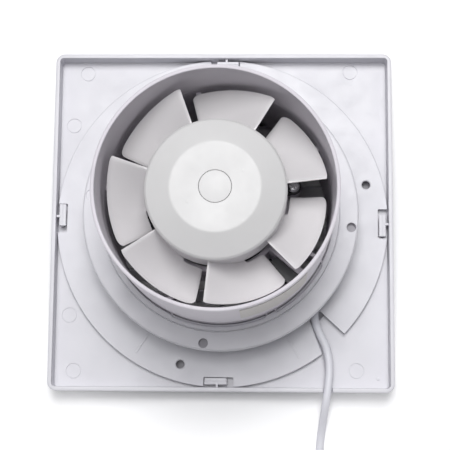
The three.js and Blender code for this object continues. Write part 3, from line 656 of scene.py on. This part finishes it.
# ---- impeller --------------------------------------------------------------
def blade(index):
    """One blade: a twisted sheet with a full, rounded rim and a rounded deep corner."""
    start = BLADE_PHASE + 360 * index / BLADES
    across, along = 14, 36
    rings = []
    for j in range(along + 1):
        v = j / along
        root = HUB_R - 0.7
        if v > 0.62:  # below the hub's skirt, the inner edge steps out to clear the motor's ring
            k = min(1, (v - 0.62) / 0.05)
            root += (BLADE_ROOT_R + 0.8 - HUB_R) * (k * k * (3 - 2 * k))
        corner = max(0, (v - 0.88) / 0.12)
        tip = BLADE_TIP_R - 1.5 * (1 - math.sqrt(max(0, 1 - corner ** 2)))
        tip -= 0.5 * max(0, (0.06 - v) / 0.06) ** 2
        if corner > 0:
            root += 0.4 * (1 - math.sqrt(max(0, 1 - corner ** 2)))
        a = start + BLADE_SPAN * v
        mid = BLADE_HIGH + 0.35 - BLADE_DROP * (v + 0.12 * math.sin(math.pi * v))
        end_round = min(1, math.sqrt(max(0.0, 1 - (1 - min(1, (1 - v) / 0.02)) ** 2)) + 0.25)
        ring = []
        for side in (1, -1):
            spots = range(across + 1) if side > 0 else range(across, -1, -1)
            for i in spots:
                u = i / across
                r = root + (tip - root) * u
                camber = 0.9 * math.sin(math.pi * u) * (0.4 + 0.6 * v)
                thin = BLADE_THICK * (1 - 0.45 * v) * (1.15 - 0.3 * u) * end_round
                rim = math.sqrt(max(0.0, 1 - max(0, (u - 0.955) / 0.045) ** 2)) if u > 0.955 else 1
                z = mid - camber + side * thin * max(rim, 0.3) / 2
                ring.append(polar(r, a, min(z, BLADE_HIGH + (0.45 if side > 0 else -0.45))))
        rings.append(ring)
    return rings_mesh("blade", rings, white_blade, False, True, 40)


def impeller():
    """The hub with its inner webs and blades, and the cap that fills the hub's bore."""
    under = HUB_TOP - 3.2
    outline = [
        (2.3, HUB_TOP - 5.6), (4.6, HUB_TOP - 5.6), (4.6, HUB_TOP - 1.6), (6.5, HUB_TOP - 1.6), (6.5, HUB_TOP),
        (HUB_FLAT_R, HUB_TOP), (HUB_R - 0.9, HUB_SHOULDER + 0.2), (HUB_R, HUB_SHOULDER - 0.9), (HUB_R, SKIRT_LOW),
        (HUB_R - HUB_WALL, SKIRT_LOW), (HUB_R - HUB_WALL, HUB_SHOULDER - 1.4), (HUB_FLAT_R - 1, under), (6, under),
        (6, 74), (2.3, 74),
    ]
    soft = [0, 0, 0, 0, 0.32, 2.4, 1.3, 1.0, 0.4, 0.4, 1.2, 1.2, 1.0, 0.4, 0.2]
    hub = lathe("impeller_wheel", outline, white_hub, 256, radius=soft, steps=5)
    marks = []
    dot = [(0, HUB_TOP - 0.6), (0.7, HUB_TOP - 0.6), (0.7, HUB_TOP + 0.05), (0, HUB_TOP + 0.1)]
    for r, a in ((12.45, 29.6), (12.35, -150)):
        marks.append(lathe("mark", dot, white_hub, 32, polar(r, a)))
    things = [hub] + marks + [blade(i) for i in range(BLADES)]
    for k in range(6):
        things.append(radial_block("hub_web", HUB_R - HUB_WALL - 5, 1.3, 9, 15.6, 60 * k + 12, 86.6, white_hub, 0.3))
    settle(joined("impeller_wheel", things), WHEEL, "hub_plastic", "impeller")
    cap = [(0, HUB_TOP - 1.3), (6.4, HUB_TOP - 1.3), (6.4, HUB_TOP - 0.03), (0, HUB_TOP + 0.02)]
    settle(lathe("hub_cap_disc", cap, white_hub, 96, radius=[0, 0.2, 0.3, 0], steps=3), WHEEL, "hub_plastic", "hub_cap")


impeller()


# ---- motor -----------------------------------------------------------------
def motor_covers():
    """The two halves of the motor's case; the outlet half has the four screw ears."""
    low = MOTOR_LOW
    inlet = [
        (3, low + 1), (7, low), (22, low), (COVER_R, low + 5), (COVER_R, SPLIT_Z - 0.15), (24.3, SPLIT_Z - 0.15),
        (24.3, low + 6), (21, low + 2), (7.6, low + 2), (7.6, low + 8), (5.6, low + 8), (5.6, low + 2.4),
        (3, low + 2.4),
    ]
    shell = lathe("motor_cover_inlet_shell", inlet, black, 128, radius=0.5)
    settle(shell, HOUSING, "black_plastic", "motor_cover_inlet")
    top = MOTOR_TOP
    outlet = [
        (3, top - 2.4), (5.6, top - 2.4), (5.6, top - 7), (7.6, top - 7), (7.6, top - 2), (21, top - 2),
        (24.3, top - 5), (24.3, SPLIT_Z + 0.15), (COVER_R, SPLIT_Z + 0.15), (COVER_R, top - 4), (22, top), (3, top),
    ]
    things = [lathe("motor_cover_outlet_shell", outlet, black, 128, radius=0.5)]
    ear_low = SUPPORT_TOP + 0.3
    for a in EAR_ANGLES:
        p = polar(EAR_R, a)
        things.append(radial_block("ear", 7.0, 6.4, 2, EAR_R - 4.6, a, ear_low + 1, black, 0.4))
        eye = [(1.7, ear_low), (3.3, ear_low), (3.3, ear_low + 2), (1.7, ear_low + 2)]
        things.append(lathe("ear_eye", eye, black, 40, p, 0.3))
    settle(joined("motor_cover_outlet_shell", things), HOUSING, "black_plastic", "motor_cover_outlet")


motor_covers()


def motor_screws():
    """Four cross-head screws that hold the motor's ears to the bosses."""
    seat, length, radius, head = SUPPORT_TOP + 2.6, 9, 1.4, 2.7
    outline = [(0, seat - length), (radius * 0.6, seat - length), (radius, seat - length + 0.8), (radius, seat),
               (head, seat), (head, seat + 0.9), (head * 0.72, seat + 1.55), (0, seat + 1.7)]
    soft = [0, 0.1, 0.1, 0.1, 0.2, 0.3, 0.5, 0]
    for number, angle in enumerate(EAR_ANGLES, 1):
        spot = polar(EAR_R, angle, seat + 1.7)
        screw = lathe(f"motor_screw_{number}_head", outline, steel, 56, spot, soft)
        cut(screw, [block("cross", 2 * head * 0.62, 0.62, 1.6, spot, turn, steel, 0) for turn in (20, 110)])
        settle(screw, HOUSING, "steel", f"motor_screw_{number}")


motor_screws()


# ---- supply cord -----------------------------------------------------------
# The run repeats the model's route; then the coil's turns, by their column and layer.
CORD_RUN = [
    (53.3, -8.6, 14.4), (52.3, -13, 12.9), (50.6, -17.4, 12.1), (48.9, -23, 12), (46.5, -29, 12),
    (43.5, -34.8, 12), (42, -40.5, 12), (42.4, -46, 11.9), (44.2, -51.1, 11.7), (46.6, -56, 11.6),
    (48, -61.2, 11.6), (48.5, -66.2, 11.6), (48.3, -71.3, 11.7), (47.7, -76.6, 11.8), (47, -81.6, 11.1),
    (46.3, -86.6, 8.6), (45.7, -91.4, 5.4), (45.1, -96.4, 3), (44.6, -101.6, 2.1), (44.2, -107, 2.1),
    (44, -112, 2.4), (44, -117, 2.7), (44, -122, 2.8), (44, -129, 2.8),
]


def smooth_route(points, steps=6):
    """A Catmull-Rom curve through the points."""
    out = []
    ends = [Vector(points[0]) * 2 - Vector(points[1])] + [Vector(p) for p in points]
    ends.append(ends[-1] * 2 - ends[-2])
    for i in range(1, len(ends) - 2):
        a, b, c, d = ends[i - 1:i + 3]
        for k in range(steps):
            t = k / steps
            bend = (2 * a - 5 * b + 4 * c - d) * t * t + (3 * b - a - 3 * c + d) * t ** 3
            out.append(0.5 * (2 * b + (c - a) * t + bend))
    out.append(ends[-2])
    return out


def coil_route():
    """Four turns side by side inwards, a step up, then outwards on top, leaving after a quarter turn."""
    thick = 2 * CORD_R
    outer = COIL_R + COIL_WIDE / 2 - CORD_R
    columns = [outer, outer - thick, outer - 2 * thick, outer - 3 * thick]
    slots = [(r, 0) for r in columns] + [(r, 1) for r in reversed(columns)]
    shift_from, shift_to = 250, 335
    points = []
    for turn in range(len(slots)):
        last = turn == len(slots) - 1
        for p in range(0, 90 if last else 360, 10):
            t = 0 if last else min(1, max(0, (p - shift_from) / (shift_to - shift_from)))
            t = t * t * (3 - 2 * t)
            r0, l0 = slots[turn]
            r1, l1 = slots[turn if last else turn + 1]
            r, layer = r0 + (r1 - r0) * t, l0 + (l1 - l0) * t
            spot = polar(r, -p)
            points.append(Vector((COIL_X + spot.x, COIL_Y + spot.y, COIL_LOW + CORD_R + layer * thick)))
    return points


def supply_cord():
    """The whole cord as one round line: the run over the flange, the coil and the last stretch."""
    tail = [(16, PLUG_Y, 6.4), (11, PLUG_Y, 6.42), (6, PLUG_Y, 6.5), (1, PLUG_Y, 6.65), (-2, PLUG_Y, 6.82),
            (-6, PLUG_Y, PLUG_Z), (-14, PLUG_Y, PLUG_Z), (-22, PLUG_Y, PLUG_Z), (-26, PLUG_Y, PLUG_Z)]
    route = smooth_route(CORD_RUN) + coil_route() + [Vector(p) for p in tail]
    data = bpy.data.curves.new("supply_cord_line", "CURVE")
    data.dimensions = "3D"
    line = data.splines.new("POLY")
    line.points.add(len(route) - 1)
    for spot, point in zip(route, line.points):
        point.co = (*(spot * MM), 1)
    line.use_smooth = True
    data.bevel_depth = CORD_R * MM
    data.bevel_resolution = 6
    data.use_fill_caps = True
    data.materials.append(sheath)
    cord = bpy.data.objects.new("supply_cord_line", data)
    bpy.context.scene.collection.objects.link(cord)
    settle(cord, HOUSING, "cord_sheath", "supply_cord", "supply_cord_coil", "supply_cord_tail")
    return cord, route[0]


def strain_relief():
    """A tapered, ribbed sleeve on the cord behind the plug."""
    rings, ribs = [], 6
    count = 32
    profile = [(CORD_R + 0.05, 0), (CORD_R + 0.7, 0.1), (CORD_R + 1.0, 0.6)]
    for i in range(ribs):
        a, b = 1.4 + i * 3.2, 1.4 + i * 3.2 + 2.0
        r0, r1 = CORD_R + 1.0 + 2.2 * a / STRAIN_LENGTH, CORD_R + 1.0 + 2.2 * b / STRAIN_LENGTH
        profile += [(r0, a), (r1, b), (r1 - 0.55, b + 0.25), (r1 - 0.5, b + 0.95)]
    profile += [(5.0, STRAIN_LENGTH - 1.0), (5.2, STRAIN_LENGTH + 0.6), (CORD_R + 0.05, STRAIN_LENGTH + 0.6)]
    for r, along in profile:
        rings.append([Vector((STRAIN_START_X - along, PLUG_Y + r * math.cos(2 * math.pi * k / count),
                              PLUG_Z + r * math.sin(2 * math.pi * k / count))) for k in range(count)])
    sleeve = rings_mesh("plug_strain_relief_sleeve", rings, plug_plastic, False)
    return settle(sleeve, HOUSING, "cord_sheath", "plug_strain_relief")


def plug_body():
    """A flat two-pin plug: a rounded, waisted grip that swells to a straight front."""
    rings, count = [], 56
    stations = ((0, 8.2, 5.4), (0.5, 9.3, 6.2), (2, 9.9, 6.5), (7, 11.6, 6.5), (13, 14.6, 6.75), (18, 16.9, 6.85),
                (22, 17.6, 6.85), (25.2, 17.6, 6.85), (25.8, 17.1, 6.4), (26, 16.3, 5.7))
    power = 2 / 3.4
    for along, wide, high in stations:
        ring = []
        for k in range(count):
            a = 2 * math.pi * k / count
            c, s = math.cos(a), math.sin(a)
            ring.append(Vector((PLUG_FACE_X - along, PLUG_Y + wide * math.copysign(abs(c) ** power, c),
                                PLUG_Z + high * math.copysign(abs(s) ** power, s))))
        rings.append(ring)
    body = rings_mesh("plug_body_shell", rings, plug_plastic, False, True)
    things = [body]
    for side in (-1, 1):
        for k in range(4):
            x = PLUG_FACE_X - 8 - k * 2.6
            things.append(block("grip_rib", 1.2, 9, 0.5, (x, PLUG_Y, PLUG_Z + side * 6.72), 0, plug_plastic, 0.2))
    return settle(joined("plug_body_shell", things), HOUSING, "cord_sheath", "plug_body")


def plug_pins():
    """Two round pins, each with an insulated shank and a bare brass end."""
    count = 28
    start = PLUG_FACE_X - PLUG_LENGTH + 0.4
    shank = ((0, 0), (2.0, 0), (2.0, 9.8), (1.9, 10.1), (0, 10.1))
    bare = ((0, 9.9), (1.92, 9.9), (2.0, 10.3), (2.0, PIN_LENGTH - 1.1), (1.7, PIN_LENGTH - 0.4), (1.1, PIN_LENGTH),
            (0, PIN_LENGTH))

    def pin(name, material, profile, y):
        turns = [2 * math.pi * k / count for k in range(count)]
        rings = [[Vector((start - along, y + r * math.cos(a), PLUG_Z + r * math.sin(a))) for a in turns]
                 for r, along in profile]
        return rings_mesh(name, rings, material, False)

    made = []
    for number, side in ((1, -1), (2, 1)):
        y = PLUG_Y + side * PIN_SPACING / 2
        made.append(settle(pin(f"plug_pin_{number}_sleeve", tie_plastic, shank, y), HOUSING, "black_plastic"))
        made.append(settle(pin(f"plug_pin_{number}_metal", brass, bare, y), HOUSING, "brass", f"plug_pin_{number}"))
    return made


def cord_tie():
    """A flat band round the coil's turns, with its head on top."""
    at = polar(COIL_R, TIE_ANGLE)
    c, s = math.cos(math.radians(TIE_ANGLE)), math.sin(math.radians(TIE_ANGLE))
    high, wide, thick = COIL_HIGH / 2 + 0.35, COIL_WIDE / 2 + 0.35, 0.55

    def loop_round(half_wide, half_high, radius):
        corners = [(-half_wide, -half_high), (half_wide, -half_high), (half_wide, half_high), (-half_wide, half_high)]
        return bezel(corners, radius, True, 5)

    outer, inner = loop_round(wide + thick, high + thick, 2.2), loop_round(wide, high, 1.8)
    rings = []
    for loop, v in ((outer, -2.4), (outer, 2.4), (inner, 2.4), (inner, -2.4)):
        ring = []
        for u, w in loop:
            x, y = COIL_X + at.x + c * u - s * v, COIL_Y + at.y + s * u + c * v
            ring.append(Vector((x, y, COIL_LOW + COIL_HIGH / 2 + w)))
        rings.append(ring)
    band = soften(rings_mesh("cord_tie_band", rings, tie_plastic, True), 0.15, 2)
    top = (COIL_X + at.x, COIL_Y + at.y, COIL_LOW + COIL_HIGH + 1.5)
    head = block("head", 5, 6.2, 2.2, top, TIE_ANGLE, tie_plastic, 0.5, 3)
    return settle(joined("cord_tie_band", [band, head]), HOUSING, "black_plastic", "cord_tie")


cord_line, cord_exit = supply_cord()
cord_pieces = [strain_relief(), plug_body(), cord_tie()] + plug_pins()

# ---- carried-over nodes ----------------------------------------------------
def dress(node, material, edge=0):
    """Gives a node that is used as modelled its material, and softens its edges."""
    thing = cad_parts[node]
    thing.data.materials.clear()
    thing.data.materials.append(material)
    if edge:
        change = thing.modifiers.new("edges", "BEVEL")
        change.width = edge * MM
        change.segments = 2
        change.limit_method = "ANGLE"
        change.angle_limit = math.radians(40)


for node in ("rotor_core", "stator_core"):
    dress(node, lamination)
for number in range(1, 5):
    dress(f"stator_coil_{number}", copper_wire, 0.6)
for node in ("bearing_inlet", "bearing_outlet", "shaft_nut", "terminal_screw_1", "terminal_screw_2"):
    dress(node, brass, 0.12)
for node in ("thrust_washer_inlet", "thrust_washer_outlet"):
    dress(node, nylon)
for node in ("terminal_block", "cord_clip"):
    dress(node, nylon, 0.3)
dress("motor_shaft", shaft_steel, 0.2)
dress("wire_cover", black, 0.35)
dress("motor_lead", black)


# ---- floor and light -------------------------------------------------------
FLOOR_HALF, FLOOR_Z = 3000, -0.05
GLOW, WORLD = 0.18, 0.21
KEY_PLACE, KEY_SIZE, KEY_POWER = (0.06, 0.64, 1.85), 0.75, 19.5
TOP_PLACE, TOP_SIZE, TOP_POWER = (-0.12, 0.15, 1.9), 0.9, 12.5


def stage():
    """A white floor that glows a little round the object, and an even light from all round."""
    material, nodes, links, shader = principled("floor_paint")
    tint = ramp(nodes, links, noise(nodes, links, 3, 2), (0.92, 0.92, 0.925), (0.94, 0.94, 0.945))
    links.new(tint, shader.inputs["Base Color"])
    shader.inputs["Roughness"].default_value = 0.75
    place = nodes.new("ShaderNodeTexCoord")
    ball = nodes.new("ShaderNodeMapping")
    ball.vector_type = "TEXTURE"
    ball.inputs["Scale"].default_value = (0.32, 0.32, 0.32)
    links.new(place.outputs["Object"], ball.inputs["Vector"])
    glow = nodes.new("ShaderNodeTexGradient")
    glow.gradient_type = "SPHERICAL"
    links.new(ball.outputs["Vector"], glow.inputs["Vector"])
    lit = ramp(nodes, links, glow.outputs["Fac"], (GLOW, GLOW, GLOW), (0, 0, 0), (0.68, 0.78))
    links.new(lit, shader.inputs["Emission Color"])
    shader.inputs["Emission Strength"].default_value = 1
    signs = ((-1, -1), (1, -1), (1, 1), (-1, 1))
    corners = [(sx * FLOOR_HALF, sy * FLOOR_HALF, FLOOR_Z) for sx, sy in signs]
    floor = from_points("floor", corners, [(0, 1, 2, 3)], material)
    world = bpy.data.worlds.new("studio")
    world.use_nodes = True
    world.node_tree.nodes["Background"].inputs["Color"].default_value = (0.96, 0.97, 1.0, 1)
    world.node_tree.nodes["Background"].inputs["Strength"].default_value = WORLD
    bpy.context.scene.world = world


def area_light(name, place, target, size, power, colour=(1, 1, 1)):
    data = bpy.data.lights.new(name, "AREA")
    data.size, data.energy, data.color = size, power, colour
    lamp = bpy.data.objects.new(name, data)
    bpy.context.scene.collection.objects.link(lamp)
    lamp.location = place
    lamp.rotation_euler = (Vector(target) - Vector(place)).to_track_quat("-Z", "Y").to_euler()


stage()
area_light("key", KEY_PLACE, (0, 0, 0.05), KEY_SIZE, KEY_POWER)
area_light("top", TOP_PLACE, (0, 0, 0.05), TOP_SIZE, TOP_POWER, (0.99, 0.99, 1.0))
